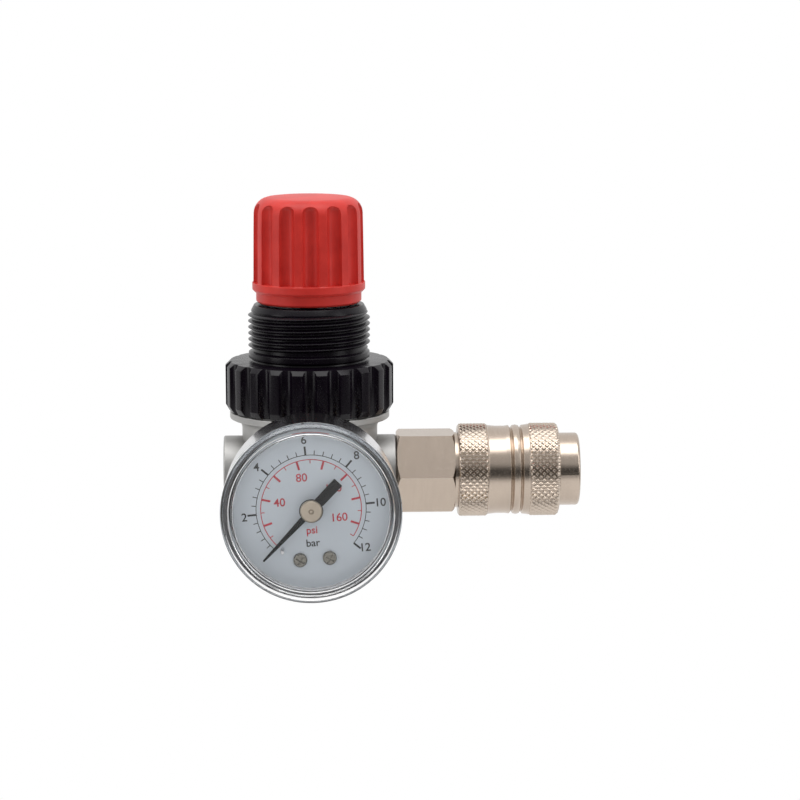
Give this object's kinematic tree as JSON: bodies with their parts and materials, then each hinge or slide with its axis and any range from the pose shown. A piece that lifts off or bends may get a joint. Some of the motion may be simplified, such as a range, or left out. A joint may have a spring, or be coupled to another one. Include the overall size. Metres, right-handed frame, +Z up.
{
  "type": "air pressure regulator",
  "caption": "Inline compressed-air regulator with a locking adjusting knob, threaded panel neck, front dial gauge and quick coupler on the outlet.",
  "frame": {"origin": "centre of the inlet port's mouth, on the flat face of its boss", "axes": "+X along the air flow from inlet to coupler, +Z up along the regulator axis towards the knob, -Y out of the gauge's face"},
  "size_m": [0.0879, 0.0793, 0.0919],
  "materials": {
    "zinc": "satin bead-blasted zinc die casting",
    "black_plastic": "black glass-filled nylon, light sheen",
    "red_plastic": "red ABS, satin",
    "nickel_brass": "bright nickel plating on brass",
    "rubber": "black nitrile rubber",
    "nylon": "natural acetal",
    "steel": "turned steel, zinc plated",
    "brass": "turned brass",
    "spring_steel": "drawn spring wire",
    "steel_case": "polished steel case",
    "clear_plastic": "clear polycarbonate",
    "dial_white": "cool white painted aluminium",
    "bronze": "phosphor bronze",
    "black_paint": "matt black paint on aluminium"
  },
  "bodies": {
    "regulator": {"body_casting": "zinc", "bonnet": "black_plastic", "bottom_plug": "nickel_brass", "bottom_plug_seal": "rubber", "rear_port_plug": "nickel_brass", "rear_plug_seal": "rubber", "thrust_washer": "nylon", "valve_spring": "spring_steel", "regulating_spring": "spring_steel", "gauge_case": "steel_case", "case_screws": "steel", "gauge_socket": "brass", "gauge_window": "clear_plastic", "window_gasket": "rubber", "gauge_dial": "dial_white", "dial_screws": "steel", "zero_stop_pin": "steel", "movement_plate_rear": "brass", "movement_plate_front": "brass", "movement_pillars": "brass", "hairspring": "bronze", "bourdon_tube": "bronze", "tube_link": "brass", "coupler_body": "nickel_brass", "locking_balls": "steel", "spring_stop_ring": "steel", "socket_seal": "rubber", "coupler_poppet_spring": "spring_steel", "sleeve_spring": "spring_steel"},
    "pointer": {"pointer": "black_paint", "pointer_hub": "brass", "pinion_shaft": "steel"},
    "sector": {"sector_gear": "brass"},
    "spindle": {"adjusting_screw": "steel", "snap_ring": "steel"},
    "knob": {"knob": "red_plastic"},
    "nut": {"adjusting_nut": "brass"},
    "piston": {"piston": "nylon", "piston_seal": "rubber"},
    "valve": {"valve_poppet": "brass", "valve_seal": "rubber"},
    "sleeve": {"coupler_sleeve": "nickel_brass"},
    "coupler_valve": {"coupler_poppet": "brass", "coupler_poppet_seal": "rubber"}
  },
  "joints": [
    {"name": "knob_turn", "type": "hinge", "parent": "regulator", "child": "spindle", "pos_m": [0.0213, 0, 0.042], "axis": [0, 0, -1], "range_deg": [0, 1350]},
    {"name": "knob_lift", "type": "slide", "parent": "spindle", "child": "knob", "axis": [0, 0, 1], "range_m": [0, 0.0024]},
    {"name": "nut_travel", "type": "slide", "parent": "regulator", "child": "nut", "axis": [0, 0, -1], "range_m": [0, 0.00469], "deforming": ["regulating_spring"]},
    {"name": "piston_travel", "type": "slide", "parent": "regulator", "child": "piston", "axis": [0, 0, -1], "range_m": [0, 0.001], "stiffness_N_per_m": 600, "springref_m": -0.001},
    {"name": "valve_travel", "type": "slide", "parent": "regulator", "child": "valve", "axis": [0, 0, -1], "range_m": [0, 0.001], "stiffness_N_per_m": 600, "springref_m": -0.001, "deforming": ["valve_spring"]},
    {"name": "pointer_turn", "type": "hinge", "parent": "regulator", "child": "pointer", "pos_m": [0.0213, -0.0497, 0], "axis": [0, 1, 0], "range_deg": [0, 270], "stiffness_Nm_per_rad": 0.0002, "springref_deg": -17.19},
    {"name": "sector_turn", "type": "hinge", "parent": "regulator", "child": "sector", "pos_m": [0.02193, -0.0404, -0.00898], "axis": [0, -1, 0], "range_deg": [0, 34]},
    {"name": "sleeve_slide", "type": "slide", "parent": "regulator", "child": "sleeve", "axis": [1, 0, 0], "range_m": [0, 0.004], "stiffness_N_per_m": 2000, "springref_m": -0.002, "deforming": ["sleeve_spring"]},
    {"name": "coupler_valve_slide", "type": "slide", "parent": "regulator", "child": "coupler_valve", "axis": [-1, 0, 0], "range_m": [0, 0.003], "stiffness_N_per_m": 800, "springref_m": -0.002, "deforming": ["coupler_poppet_spring"]}
  ],
  "couplings": [
    {"joint": "knob_turn", "follows": "nut_travel", "rad_per_m": 5026.5},
    {"joint": "valve_travel", "follows": "piston_travel", "ratio": 1},
    {"joint": "sector_turn", "follows": "pointer_turn", "ratio": 0.125}
  ]
}
